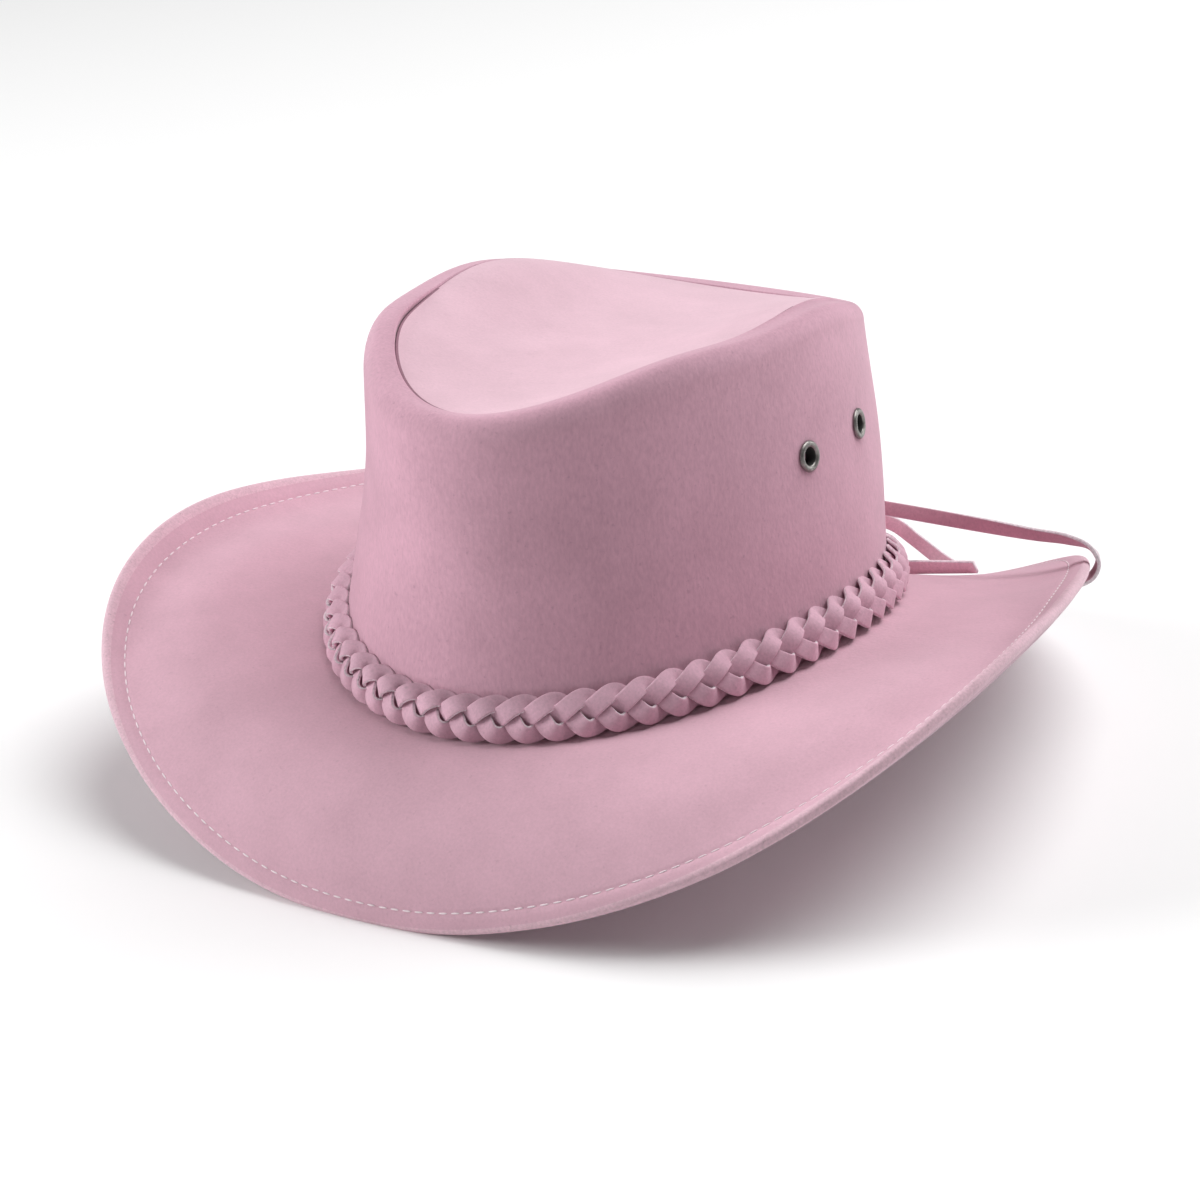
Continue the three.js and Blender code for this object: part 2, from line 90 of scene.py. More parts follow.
left_lace_end = (0.0196, 0.0942, 0.0555, 0, 0.20, 0.98)
right_lace_end = (-0.0047, 0.0943, 0.0554, 0, 0.20, 0.98)
upper_tail_stops = [
    (0.0186, 0.0953, 0.0494, 0, 0, 1),
    (0.0300, 0.0962, 0.0499, 0, 0, 1),
    (0.0450, 0.0960, 0.0493, 0, 0.10, 1),
    (0.0520, 0.0987, 0.0438, 0.60, 0.10, 0.80),
    (0.0585, 0.1021, 0.0376, 0.60, 0.20, 0.80),
    (0.0625, 0.1043, 0.0342, 0.60, 0.20, 0.80),
]
lower_tail_stops = [
    (0.0120, 0.0953, 0.0484, 1, 0, 0),
    (0.0140, 0.0979, 0.0423, 1, 0, 0.20),
    (0.0190, 0.0995, 0.0364, 0.80, 0.10, 0.50),
    (0.0290, 0.0997, 0.0314, 0.40, 0.20, 0.90),
    (0.0450, 0.0983, 0.0330, 0, -0.10, 0.99),
    (0.0600, 0.0971, 0.0358, 0, -0.25, 0.97),
    (0.0760, 0.0961, 0.0387, 0, -0.40, 0.92),
]


def smooth_line(stops, pieces):
    """Points on the smooth line through the stops, with a number of pieces from each stop to the next."""
    reach = [stops[0] * 2 - stops[1], *stops, stops[-1] * 2 - stops[-2]]
    line = []
    for before, start, end, after in zip(reach, reach[1:], reach[2:], reach[3:]):
        gaps = [max((b - a).length, 1e-6) ** 0.5 for a, b in ((before, start), (start, end), (end, after))]
        straight = (end - start) / gaps[1]
        leave = ((start - before) / gaps[0] - (end - before) / (gaps[0] + gaps[1]) + straight) * gaps[1]
        arrive = (straight - (after - start) / (gaps[1] + gaps[2]) + (after - end) / gaps[2]) * gaps[1]
        bend = (start - end) * 2 + leave + arrive
        lean = (end - start) * 3 - leave * 2 - arrive
        for piece in range(pieces):
            share = piece / pieces
            line.append(start + leave * share + lean * share**2 + bend * share**3)
    line.append(stops[-1])
    return line


def strip_frames(points, widths):
    """A frame at each point: X across the strip, Y out of its face, Z along it."""
    frames = []
    for index, (point, width) in enumerate(zip(points, widths)):
        before, after = points[max(index - 1, 0)], points[min(index + 1, len(points) - 1)]
        along = (after - before).normalized()
        across = (width - along * width.dot(along)).normalized()
        turn = Matrix((across, along.cross(across), along)).transposed().to_4x4()
        frames.append(Matrix.Translation(point) @ turn)
    return frames


def strip_outline(point, width, thickness):
    """Moves a point of the unit circle to the outline of a flat strip with round corners."""
    across = math.copysign(abs(point.x) ** 0.25, point.x) * width / 2
    out = math.copysign(abs(point.y) ** 0.5, point.y) * thickness / 2
    return Vector((across, out, 0))


def finish_piece(name, bm, looks, nodes=()):
    mesh = bpy.data.meshes.new(name)
    bm.to_mesh(mesh)
    bm.free()
    mesh.shade_smooth()
    for look in looks:
        mesh.materials.append(look)
    piece = bpy.data.objects.new(name, mesh)
    bpy.context.collection.objects.link(piece)
    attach(piece, "root")
    if nodes:
        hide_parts(*nodes)
    return piece


def new_node(look, kind, inputs=(), **settings):
    node = look.node_tree.nodes.new(kind)
    for name, value in settings.items():
        setattr(node, name, value)
    for name, value in inputs:
        node.inputs[name].default_value = value
    return node


def suede(name, colour, fleck=0.10, mottle=0.06, stretch=(1, 1, 1), raised=0.25, sheen=0.35):
    """Suede: a fine brushed nap with darker flecks, soft wide clouds and a light bloom at a glancing angle."""
    look = bpy.data.materials.new(name)
    look.use_nodes = True
    link = look.node_tree.links.new
    shader = look.node_tree.nodes["Principled BSDF"]
    shader.inputs["Roughness"].default_value = 0.95
    shader.inputs["Specular IOR Level"].default_value = 0.15
    shader.inputs["Sheen Weight"].default_value = sheen
    shader.inputs["Sheen Roughness"].default_value = 0.45
    shader.inputs["Sheen Tint"].default_value = (1.0, 0.86, 0.91, 1)
    place = new_node(look, "ShaderNodeTexCoord")
    stretched = new_node(look, "ShaderNodeMapping", [("Scale", stretch)])
    link(place.outputs["Object"], stretched.inputs["Vector"])
    nap = new_node(look, "ShaderNodeTexNoise", [("Scale", 1100), ("Detail", 5), ("Roughness", 0.65)])
    link(stretched.outputs["Vector"], nap.inputs["Vector"])
    cloud = new_node(look, "ShaderNodeTexNoise", [("Scale", 38), ("Detail", 4), ("Roughness", 0.6)])
    link(place.outputs["Object"], cloud.inputs["Vector"])
    speck = new_node(look, "ShaderNodeTexNoise", [("Scale", 620), ("Detail", 2), ("Roughness", 0.5)])
    link(place.outputs["Object"], speck.inputs["Vector"])
    shade = [("From Min", 0.3), ("From Max", 0.7), ("To Min", 1 - fleck), ("To Max", 1 + fleck)]
    nap_shade = new_node(look, "ShaderNodeMapRange", shade)
    link(nap.outputs["Fac"], nap_shade.inputs["Value"])
    wide = [("From Min", 0.3), ("From Max", 0.7), ("To Min", 1 - mottle), ("To Max", 1 + mottle)]
    cloud_shade = new_node(look, "ShaderNodeMapRange", wide)
    link(cloud.outputs["Fac"], cloud_shade.inputs["Value"])
    dots = [("From Min", 0.66), ("From Max", 0.76), ("To Min", 1), ("To Max", 1 - 1.5 * fleck)]
    speck_shade = new_node(look, "ShaderNodeMapRange", dots)
    link(speck.outputs["Fac"], speck_shade.inputs["Value"])
    both = new_node(look, "ShaderNodeMath", operation="MULTIPLY")
    link(nap_shade.outputs["Result"], both.inputs[0])
    link(cloud_shade.outputs["Result"], both.inputs[1])
    all_three = new_node(look, "ShaderNodeMath", operation="MULTIPLY")
    link(both.outputs[0], all_three.inputs[0])
    link(speck_shade.outputs["Result"], all_three.inputs[1])
    dyed = new_node(look, "ShaderNodeVectorMath", [(0, colour)], operation="SCALE")
    link(all_three.outputs[0], dyed.inputs["Scale"])
    link(dyed.outputs["Vector"], shader.inputs["Base Color"])
    height = new_node(look, "ShaderNodeMath", [(1, 0.35)], operation="MULTIPLY_ADD")
    link(nap.outputs["Fac"], height.inputs[0])
    link(speck.outputs["Fac"], height.inputs[2])
    bump = new_node(look, "ShaderNodeBump", [("Strength", raised), ("Distance", 0.0004)])
    link(height.outputs[0], bump.inputs["Height"])
    link(bump.outputs["Normal"], shader.inputs["Normal"])
    return look


lace_looks = [
    suede("lace_suede", (0.63, 0.36, 0.43), mottle=0.12, sheen=0.25),
    suede("lace_raw_edge", (0.82, 0.72, 0.76), fleck=0.2, sheen=0.1),
    suede("lace_flesh_side", (0.70, 0.58, 0.62), fleck=0.16, sheen=0.2),
]
# The tails are the same lace, but their suede is coloured much lighter: painted light on faces that turn away from
# the lamps.
lit_end_looks = [suede("lace_end_painted_light", (0.92, 0.66, 0.73), mottle=0.10, sheen=0.25), *lace_looks[1:]]
suede_side, raw_side, flesh_side = 0, 1, 2


def strip(name, frames, width, thickness, looks, node):
    """A flat strip grown along its frames, one short length after another, and closed at both ends."""
    bm = bmesh.new()
    bmesh.ops.create_circle(bm, segments=16, radius=1)
    for point in bm.verts:
        point.co = frames[0] @ strip_outline(point.co, width, thickness)
    edges = bm.edges[:]
    bmesh.ops.contextual_create(bm, geom=edges)["faces"][0].material_index = raw_side
    for before, after in zip(frames, frames[1:]):
        grown = bmesh.ops.extrude_edge_only(bm, edges=edges)["geom"]
        ends = {part for part in grown if isinstance(part, bmesh.types.BMVert)}
        edges = [part for part in grown if isinstance(part, bmesh.types.BMEdge) and ends.issuperset(part.verts)]
        for face in (part for part in grown if isinstance(part, bmesh.types.BMFace)):
            spot = before.inverted() @ face.calc_center_median()
            side = suede_side if spot.y > 0 else flesh_side
            face.material_index = raw_side if abs(spot.x) > 0.45 * width else side
        bmesh.ops.transform(bm, matrix=after @ before.inverted(), verts=list(ends))
    bmesh.ops.contextual_create(bm, geom=edges)["faces"][0].material_index = raw_side
    bmesh.ops.recalc_face_normals(bm, faces=bm.faces)
    return finish_piece(name, bm, looks, [node])


def lace(name, stops, side, face, looks, node):
    """One stretch of the lace along its stops, on the wearer's left (side 1) or mirrored (side -1)."""
    points = smooth_line([Vector((side * x, y, z)) for x, y, z, *_ in stops], 12)
    widths = smooth_line([Vector((side * stop[3], stop[4], stop[5])) for stop in stops], 12)
    frames = strip_frames(points, widths)
    frames = [each @ Matrix.Diagonal((1, side * face, 1, 1)) for each in frames]
    return strip(name, frames, lace_width, lace_thickness, looks, node), points


left_stops, right_stops = [*lace_stops, left_lace_end], [*lace_stops, right_lace_end]
left_lace, left_line = lace("lace_left", left_stops, 1, -1, lace_looks, "chin_lace_left")
right_lace, right_line = lace("lace_right", right_stops, -1, -1, lace_looks, "chin_lace_right")
upper_tail, upper_line = lace("lace_end_upper", upper_tail_stops, 1, 1, lit_end_looks, "lace_tail_upper")
lower_tail, lower_line = lace("lace_end_lower", lower_tail_stops, 1, 1, lit_end_looks, "lace_tail_lower")

# The knot is the lace pulled tight round itself: two flat turns that cross on the slant.
knot_place = Vector((0.012, 0.0947, 0.055))
knot_turns = [(0.30, 0.0043, 0.0058), (-0.42, 0.0036, 0.0052)]
knot_bm = bmesh.new()
for slant, deep, tall in knot_turns:
    turn_bm = bmesh.new()
    bmesh.ops.create_circle(turn_bm, segments=16, radius=1)
    for point in turn_bm.verts:
        outline = strip_outline(point.co, 0.0062, 0.0017)
        point.co = (outline.x, 0, outline.y + 1)
    bmesh.ops.spin(
        turn_bm, geom=turn_bm.verts[:] + turn_bm.edges[:], cent=(0, 0, 0), axis=(1, 0, 0), dvec=(0, 0, 0),
        angle=2 * math.pi, space=Matrix(), steps=40, use_merge=True, use_normal_flip=False, use_duplicate=False,
    )
    for point in turn_bm.verts:
        way = Vector((0, point.co.y, point.co.z)).normalized()
        lift = Vector((0, point.co.y, point.co.z)).length - 1
        point.co = (point.co.x, way.y * (deep + lift), way.z * (tall + lift))
    bmesh.ops.rotate(turn_bm, cent=(0, 0, 0), matrix=Matrix.Rotation(slant, 3, "Y"), verts=turn_bm.verts[:])
    bmesh.ops.translate(turn_bm, vec=knot_place, verts=turn_bm.verts[:])
    bmesh.ops.recalc_face_normals(turn_bm, faces=turn_bm.faces)
    turn_mesh = bpy.data.meshes.new("knot_turn")
    turn_bm.to_mesh(turn_mesh)
    turn_bm.free()
    knot_bm.from_mesh(turn_mesh)
    bpy.data.meshes.remove(turn_mesh)
knot = finish_piece("lace_knot_turns", knot_bm, lace_looks[:1], ["lace_knot"])

# The brim is one saddle of suede two millimetres thick. Its edge is folded under and sewn down, so the hem is
# twice as thick, rounded at the edge and drawn in along the stitches.
leather = 0.002
clearance = 0.0003
half_length, half_width = 0.100, 0.084
crown_height = 0.110
brim_width = 0.074
brim_bend = 1.2
hem_width = 0.008
hem_thickness = 0.004
stitch_inset = 0.0068
standing = Vector((0, -0.0103, 0.0423))
# One value every 30 degrees, from the front round to the back.
brim_lift = [-0.027, 0.004, 0.054, 0.087, 0.063, -0.038, -0.143]
brim_span = [1.0, 1.0, 1.045, 0.907, 0.862, 1.036, 1.061]
slope_at_crown = [3.4, 0.6, 6, 0.5, -10.7, -19.1, -20.4]
slope_at_edge = [-88, -51.4, 4.2, 28.6, 23.8, 6.2, -18.9]
hem_dip = [0, 0.1, 0.56, 0.56, 0.1, 0, 0]
dip_reach = 4.5 * hem_width


def even_wave(values, scale):
    """A smooth wave through values set every 30 degrees, the same on both sides."""
    last = len(values) - 1
    ends = [0.5 if index in (0, last) else 1 for index in range(last + 1)]
    sizes = [
        2 * ends[wave] * scale / last
        * sum(ends[i] * values[i] * math.cos(math.pi * wave * i / last) for i in range(last + 1))
        for wave in range(last + 1)
    ]
    return lambda angle: sum(size * math.cos(wave * angle) for wave, size in enumerate(sizes))


brim_waves = [
    even_wave(brim_lift, crown_height),
    even_wave(brim_span, brim_width),
    even_wave(slope_at_crown, math.pi / 180),
    even_wave(slope_at_edge, math.pi / 180),
    even_wave(hem_dip, hem_width),
]


@lru_cache(maxsize=None)
def brim_at(angle):
    return [wave(angle) for wave in brim_waves]


@lru_cache(maxsize=None)
def base_ring(angle):
    """The foot of the crown at an angle from the front, and the way out from it."""
    way = Vector((math.sin(angle) / half_width, -math.cos(angle) / half_length, 0)).normalized()
    return Vector((half_width * math.sin(angle), -half_length * math.cos(angle), 0)), way


def dip_lift(dip, inset):
    """The brim sinks a little just inside its hem, where the hem turns up."""
    share = min(max(inset / dip_reach, 0), 1)
    return -max(dip, 0) * math.sin(math.pi * math.sqrt(share)) ** 2


@lru_cache(maxsize=None)
def brim_line(angle, distance):
    """The middle of the leather: how far out it has got, its height and its slope."""
    lift, span, start, end, dip = brim_at(angle)
    change = end - start
    out, height, pieces = 0.0, lift, 16
    for piece in range(pieces):
        slope = start + change * max(distance * (piece + 0.5) / pieces / span, 0) ** brim_bend
        out += math.cos(slope) * distance / pieces
        height += math.sin(slope) * distance / pieces
    inset, step = span - distance, leather / 4
    steeper = (dip_lift(dip, inset - step) - dip_lift(dip, inset + step)) / (2 * step)
    slope = start + change * max(distance / span, 0) ** brim_bend + math.atan(steeper)
    return out, height + dip_lift(dip, inset), slope


def brim_point(angle, distance, offset):
    out, height, slope = brim_line(angle, distance)
    foot, way = base_ring(angle)
    place = foot + way * (out - math.sin(slope) * offset)
    place.z = height + math.cos(slope) * offset
    return place


def soft_waves(place, size, depth):
    """The small unevenness of a soft, hand-made piece."""
    return noise.noise(place / size) * depth


def hem_relief(inset):
    """How far the hem's face stands out, by the distance in from the edge: puffed, and drawn in at the stitches."""
    groove = math.exp(-(((inset - stitch_inset) / 0.0007) ** 2))
    puff = math.exp(-(((inset - 0.0042) / 0.0016) ** 2))
    return 0.00025 * puff - 0.00032 * groove


def brim_section(angle):
    """The brim's outline at an angle: over the top, round the hem and back underneath."""
    span = brim_at(angle)[1]
    half, round_hem = leather / 2, hem_thickness / 2
    plain = span - hem_width - 0.0015
    outline = [(-(leather + 2 * clearance), half)]
    outline += [(plain * step / 24, half) for step in range(25)]
    insets = [0.0088, 0.0081, 0.0076, 0.0072, 0.0068, 0.0064, 0.006, 0.0054, 0.0047, 0.004, 0.0032, 0.0025]
    outline += [(span - inset, half + hem_relief(inset)) for inset in insets]
    for turn in range(0, 181, 15):
        way = math.radians(turn)
        outline.append((span - round_hem + round_hem * math.sin(way), half - round_hem * (1 - math.cos(way))))
    below = half - hem_thickness
    outline += [(span - inset, below - hem_relief(inset)) for inset in reversed(insets[3:])]
    outline += [(span - 0.0077, below + 0.0001), (span - 0.0080, below + 0.0004), (span - 0.0081, -half - 0.0003)]
    outline += [(span - 0.0084, -half)]
    outline += [(plain * step / 24, -half) for step in reversed(range(25))]
    outline.append((-(leather + 2 * clearance), -half))
    section = []
    for distance, offset in outline:
        spot = brim_point(angle, distance, 0)
        lift = soft_waves(spot, 0.045, 0.0007) * min(max(distance, 0) / 0.02, 1)
        place = brim_point(angle, distance, offset) + standing
        place.z = max(place.z + lift, 0)
        section.append(place)
    return section


def laid_round(sections, closed=True):
    """A grid laid round the hat, a column for each section and a row for each of its points, then sewn up."""
    steps, rows = len(sections), len(sections[0])
    rises = rows if closed else rows - 1
    bm = bmesh.new()
    bmesh.ops.create_grid(bm, x_segments=steps, y_segments=rises, size=1)
    row_layer = bm.verts.layers.int.new("row")
    for point in bm.verts:
        step = round((point.co.x + 1) / 2 * steps)
        point[row_layer] = round((point.co.y + 1) / 2 * rises)
        point.co = sections[step % steps][point[row_layer] % rows]
    face_layer = bm.faces.layers.int.new("row")
    for face in bm.faces:
        face[face_layer] = min(point[row_layer] for point in face.verts)
    bmesh.ops.remove_doubles(bm, verts=bm.verts, dist=1e-7)
    bmesh.ops.recalc_face_normals(bm, faces=bm.faces)
    return bm


def look_by_row(bm, look_of):
    row_layer = bm.faces.layers.int.get("row")
    for face in bm.faces:
        face.material_index = look_of(face[row_layer])


brim_steps = 360
brim_looks = [
    suede("brim_suede", (0.65, 0.40, 0.48), fleck=0.06),
    suede("brim_flesh_side", (0.60, 0.40, 0.47), fleck=0.14, raised=0.4, sheen=0.2),
    suede("hem_edge", (0.70, 0.47, 0.54), fleck=0.14, raised=0.5, sheen=0.35),
]
brim_sections = [brim_section(2 * math.pi * step / brim_steps) for step in range(brim_steps)]
brim_bm = laid_round(brim_sections)
edge_starts, under_starts = 1 + 25 + 12, 1 + 25 + 12 + 12
look_by_row(brim_bm, lambda row: 1 if row >= under_starts else 2 if row >= edge_starts else 0)
finish_piece("brim_leather", brim_bm, brim_looks, ["brim"])

# The hem is sewn down with a pale thread, a stitch every four millimetres, seen on both faces of the brim.
stitch_pitch = 0.0041
stitch_size = (0.00030, 0.00026, 0.00145)


def thread_look():
    look = bpy.data.materials.new("hem_thread")
    look.use_nodes = True
    shader = look.node_tree.nodes["Principled BSDF"]
    shader.inputs["Roughness"].default_value = 0.7
    shader.inputs["Sheen Weight"].default_value = 0.2
    place = new_node(look, "ShaderNodeTexCoord")
    twist = new_node(look, "ShaderNodeTexNoise", [("Scale", 2200), ("Detail", 2)])
    tint = new_node(look, "ShaderNodeValToRGB")
    tint.color_ramp.elements[0].color = (0.80, 0.66, 0.71, 1)
    tint.color_ramp.elements[1].color = (0.95, 0.85, 0.88, 1)
    look.node_tree.links.new(place.outputs["Object"], twist.inputs["Vector"])
    look.node_tree.links.new(twist.outputs["Fac"], tint.inputs["Fac"])
    look.node_tree.links.new(tint.outputs["Color"], shader.inputs["Base Color"])
    return look


def even_angles(line_at, pitch, samples=720):
    """Angles whose points on a closed line lie about one pitch apart."""
    angles = [2 * math.pi * step / samples for step in range(samples + 1)]
    points = [line_at(angle) for angle in angles]
    reached = [0.0]
    for a, b in zip(points, points[1:]):
        reached.append(reached[-1] + (b - a).length)
    count = round(reached[-1] / pitch)
    found, index = [], 0
    for stop in range(count):
        wanted = reached[-1] * stop / count
        while reached[index + 1] < wanted:
            index += 1
        share = (wanted - reached[index]) / (reached[index + 1] - reached[index])
        found.append(angles[index] + share * (angles[index + 1] - angles[index]))
    return found


def hem_spot(angle, offset):
    place = brim_point(angle, brim_at(angle)[1] - stitch_inset, offset)
    spot = brim_point(angle, brim_at(angle)[1] - stitch_inset, 0)
    place += standing + Vector((0, 0, soft_waves(spot, 0.045, 0.0007)))
    place.z = max(place.z, stitch_size[1] + 0.0001)
    return place


stitch_bm, seed_bm = bmesh.new(), bmesh.new()
bmesh.ops.create_uvsphere(seed_bm, u_segments=8, v_segments=6, radius=1)
stitch_seed = bpy.data.meshes.new("stitch_seed")
seed_bm.to_mesh(stitch_seed)
seed_bm.free()
top_face, under_face = leather / 2 - 0.00022, leather / 2 - hem_thickness + 0.00022
for stitch_angle in even_angles(lambda angle: hem_spot(angle, 0), stitch_pitch):
    for face_height, other in ((top_face, 0.001), (under_face, -0.001)):
        spot = hem_spot(stitch_angle, face_height)
        along = (hem_spot(stitch_angle + 0.01, face_height) - hem_spot(stitch_angle - 0.01, face_height)).normalized()
        out = (hem_spot(stitch_angle, face_height + other) - spot).normalized()
        turn = Matrix((along.cross(out), out, along)).transposed().to_4x4()
        stitch = stitch_seed.copy()
        stitch.transform(Matrix.Translation(spot) @ turn @ Matrix.Diagonal((*stitch_size, 1)))
        stitch_bm.from_mesh(stitch)
        bpy.data.meshes.remove(stitch)
bpy.data.meshes.remove(stitch_seed)
finish_piece("hem_stitches", stitch_bm, [thread_look()])

# The crown's side is one wrapped panel of the same suede. It leans in as it rises, swells at the back, and rolls
# over at the top into a rounded rim with the seam of the top panel inside it.
rim_width = 0.010
rim_drop = 0.008
rim_crest = 0.45 * rim_width
seam_across = [0, 0.429, 0.625, 0.696, 0.667, 0.476, 0]
seam_along = [-0.88, -0.664, -0.35, -0.02, 0.34, 0.72, 0.87]
seam_height = [0.893, 0.959, 1.0, 1.006, 0.982, 0.871, 0.819]
rim_roll = [0.05, 0.05, 0.05, -0.09, -0.15, -0.15, -0.06]
wall_swell = [-0.2, -0.22, -0.22, -0.05, 0.18, 0.24, 0.2]
top_ridge = [0, 0, 0.08, 0.16, 0.2, 0.1, 0]
top_sunk = [0.25, 0.5, 1, 0.3, 0, 0, 0.3]
lip_depth = leather / 4


def odd_wave(values, scale):
    """A smooth wave through values set every 30 degrees, mirrored from side to side."""
    last = len(values) - 1
    sizes = [
        2 * scale / last * sum(values[i] * math.sin(math.pi * wave * i / last) for i in range(last + 1))
        for wave in range(last + 1)
    ]
    return lambda angle: sum(size * math.sin(wave * angle) for wave, size in enumerate(sizes))


seam_x, seam_y = odd_wave(seam_across, half_width), even_wave(seam_along, half_length)
height_wave = even_wave(seam_height, crown_height)
roll_wave, swell_wave, ridge_wave = (even_wave(row, rim_width) for row in (rim_roll, wall_swell, top_ridge))


@lru_cache(maxsize=None)
def seam_at(angle):
    """The seam's point, the way out from it in plan, and the rim's roll and the wall's swell there."""
    step = 0.001
    along = Vector((seam_x(angle + step) - seam_x(angle - step), seam_y(angle + step) - seam_y(angle - step), 0))
    along.normalize()
    point = Vector((seam_x(angle), seam_y(angle), height_wave(angle)))
    return point, Vector((along.y, -along.x, 0)), roll_wave(angle), swell_wave(angle)


def seam_place(angle, out, up):
    point, way, _, _ = seam_at(angle)
    return point + way * out + Vector((0, 0, up))


@lru_cache(maxsize=None)
def wall_foot(angle, inward):
    return brim_point(angle, -inward, leather / 2).z + clearance


def wall_point(angle, rise, inward=0.0):
    """A point of the side wall, from the brim (rise 0) to the rim's shoulder (rise 1)."""
    foot, way = base_ring(angle)
    shoulder = seam_place(angle, rim_width - inward, -rim_drop)
    start = foot - way * inward
    start.z = wall_foot(angle, inward)
    place = start.lerp(shoulder, rise) + way * seam_at(angle)[3] * math.sin(math.pi * rise)
    return place + way * soft_waves(foot + Vector((0, 0, shoulder.z * rise)), 0.05, 0.0009) * math.sin(math.pi * rise)


def rim_point(angle, turn, inward=0.0):
    roll = seam_at(angle)[2]
    out = rim_crest + (rim_width - rim_crest - inward) * math.sin(turn)
    return seam_place(angle, out, -rim_drop + (rim_drop + roll - inward) * math.cos(turn))


def lip_point(angle, turn, inward=0.0):
    up = -lip_depth + (lip_depth + seam_at(angle)[2]) * math.sin(turn)
    return seam_place(angle, rim_crest * (1 - math.cos(turn)), up - inward)


def wall_section(angle):
    outside = [wall_point(angle, step / 44) for step in range(44)]
    rim = [rim_point(angle, math.radians(90 - 7.5 * step)) for step in range(12)]
    lip = [lip_point(angle, math.radians(90 - 10 * step)) for step in range(10)]
    under_lip = [lip_point(angle, 0, leather)]
    under_rim = [rim_point(angle, math.radians(10 * step), leather) for step in range(10)]
    inside = [wall_point(angle, 1 - step / 24, leather) for step in range(1, 25)]
    return [place + standing for place in (*outside, *rim, *lip, *under_lip, *under_rim, *inside)]


crown_steps = 300
crown_look = suede("crown_suede", (0.63, 0.365, 0.455), fleck=0.09, stretch=(1, 1, 0.4))
inside_look = suede("crown_flesh_side", (0.58, 0.40, 0.46), fleck=0.15, raised=0.4, sheen=0.2)
wall_bm = laid_round([wall_section(2 * math.pi * step / crown_steps) for step in range(crown_steps)])
lip_ends = 44 + 12 + 10
look_by_row(wall_bm, lambda row: 1 if row >= lip_ends else 0)
crown_side = finish_piece("crown_side_leather", wall_bm, [crown_look, inside_look], ["crown_side"])

# The top panel is a teardrop of suede, sewn in below the rim. It sinks to a shallow bowl in the middle and swells
# a little beside the ridges at the back. Its edge along the seam is painted with a dark ring of shade, wider round
# the front and narrow behind.
top_hollow = 0.882 * crown_height
top_middle = Vector((0, -0.04 * half_length, 0))
top_bowl, ridge_bend = 2.2, 4
sunk_wave = even_wave(top_sunk, 0.0015)


def top_point(angle, share, under, gap):
    seam, way, _, _ = seam_at(angle)
    edge = seam - way * gap
    edge_height = seam.z - lip_depth - sunk_wave(angle)
    place = top_middle.lerp(Vector((edge.x, edge.y, 0)), share)
    place.z = top_hollow + (edge_height - top_hollow) * share**top_bowl
    place.z += ridge_wave(angle) * math.sin(math.pi * share**ridge_bend)
    place.z += soft_waves(Vector((place.x, place.y, 0)), 0.05, 0.001) * (1 - share**4) - under
    return place + standing


def top_section(angle):
    shares = [step / 40 for step in range(40)] + [0.985, 0.993]
    over = [top_point(angle, share, 0, 0.0001) for share in shares]
    turned_edge = [
        top_point(angle, 1 - 0.007 * (1 - math.sin(math.radians(turn))), 0.0005 * (1 - math.cos(math.radians(turn))),
                  0.0001)
        for turn in (30, 60, 90)
    ]
    below = [top_point(angle, share, leather, 0.0001) for share in (1, *(step / 12 for step in reversed(range(12))))]
    return [*over, *turned_edge, *below]


top_bm = laid_round([top_section(2 * math.pi * step / crown_steps) for step in range(crown_steps)], closed=False)
seam_shade_starts, below_starts = 40, 45
look_by_row(top_bm, lambda row: 1 if row >= below_starts else 0)
top_rows = top_bm.faces.layers.int.get("row")
# The last rows before the underside are painted dark as the seam's shade: from row 40 at the front, 41 at the middle,
# 42 behind.
for face in top_bm.faces:
    narrower = sum(face.calc_center_median().y > back for back in (-0.020, 0.005))
    if seam_shade_starts + narrower <= face[top_rows] < below_starts:
        face.material_index = 2
seam_shade_look = suede("seam_painted_shade", (0.34, 0.19, 0.24), fleck=0.1, sheen=0.05)
# Painted light: the top panel's suede is coloured lighter and paler than the wall's, for the overhead light falling
# on it.
top_lit_look = suede("top_suede_painted_light", (0.75, 0.505, 0.585), fleck=0.05)
finish_piece("crown_top_leather", top_bm, [top_lit_look, inside_look, seam_shade_look], ["crown_top"])

# Four eyelets of dark antique metal air the crown, two on each side. Each is pressed through the leather, with a
# rolled rim outside and a flat washer inside.
eyelet_radius = 0.005
eyelet_hole = 0.0027
eyelet_spacing = 0.035
eyelet_height = 0.069
eyelet_center = 0.014


def eyelet_seat(side, along):
    """The wall's point at the eyelets' height and a distance back, and the way out of the wall."""
    angle, rise, step = math.pi / 2, 0.6, 0.01
    for _ in range(12):
        here = wall_point(angle, rise)
        rise_next = rise + step * (eyelet_height - here.z) / (wall_point(angle, rise + step).z - here.z)
        angle += step * (along - here.y) / (wall_point(angle + step, rise).y - here.y)
        rise = rise_next
    point = wall_point(side * angle, rise)
    around = wall_point(side * angle + step, rise) - point
    upward = wall_point(side * angle, rise + step) - point
    outward = around.cross(upward).normalized()
    if outward.x * side < 0:
        outward.negate()
    return Matrix.Translation(point + standing) @ outward.to_track_quat("Z", "Y").to_matrix().to_4x4()


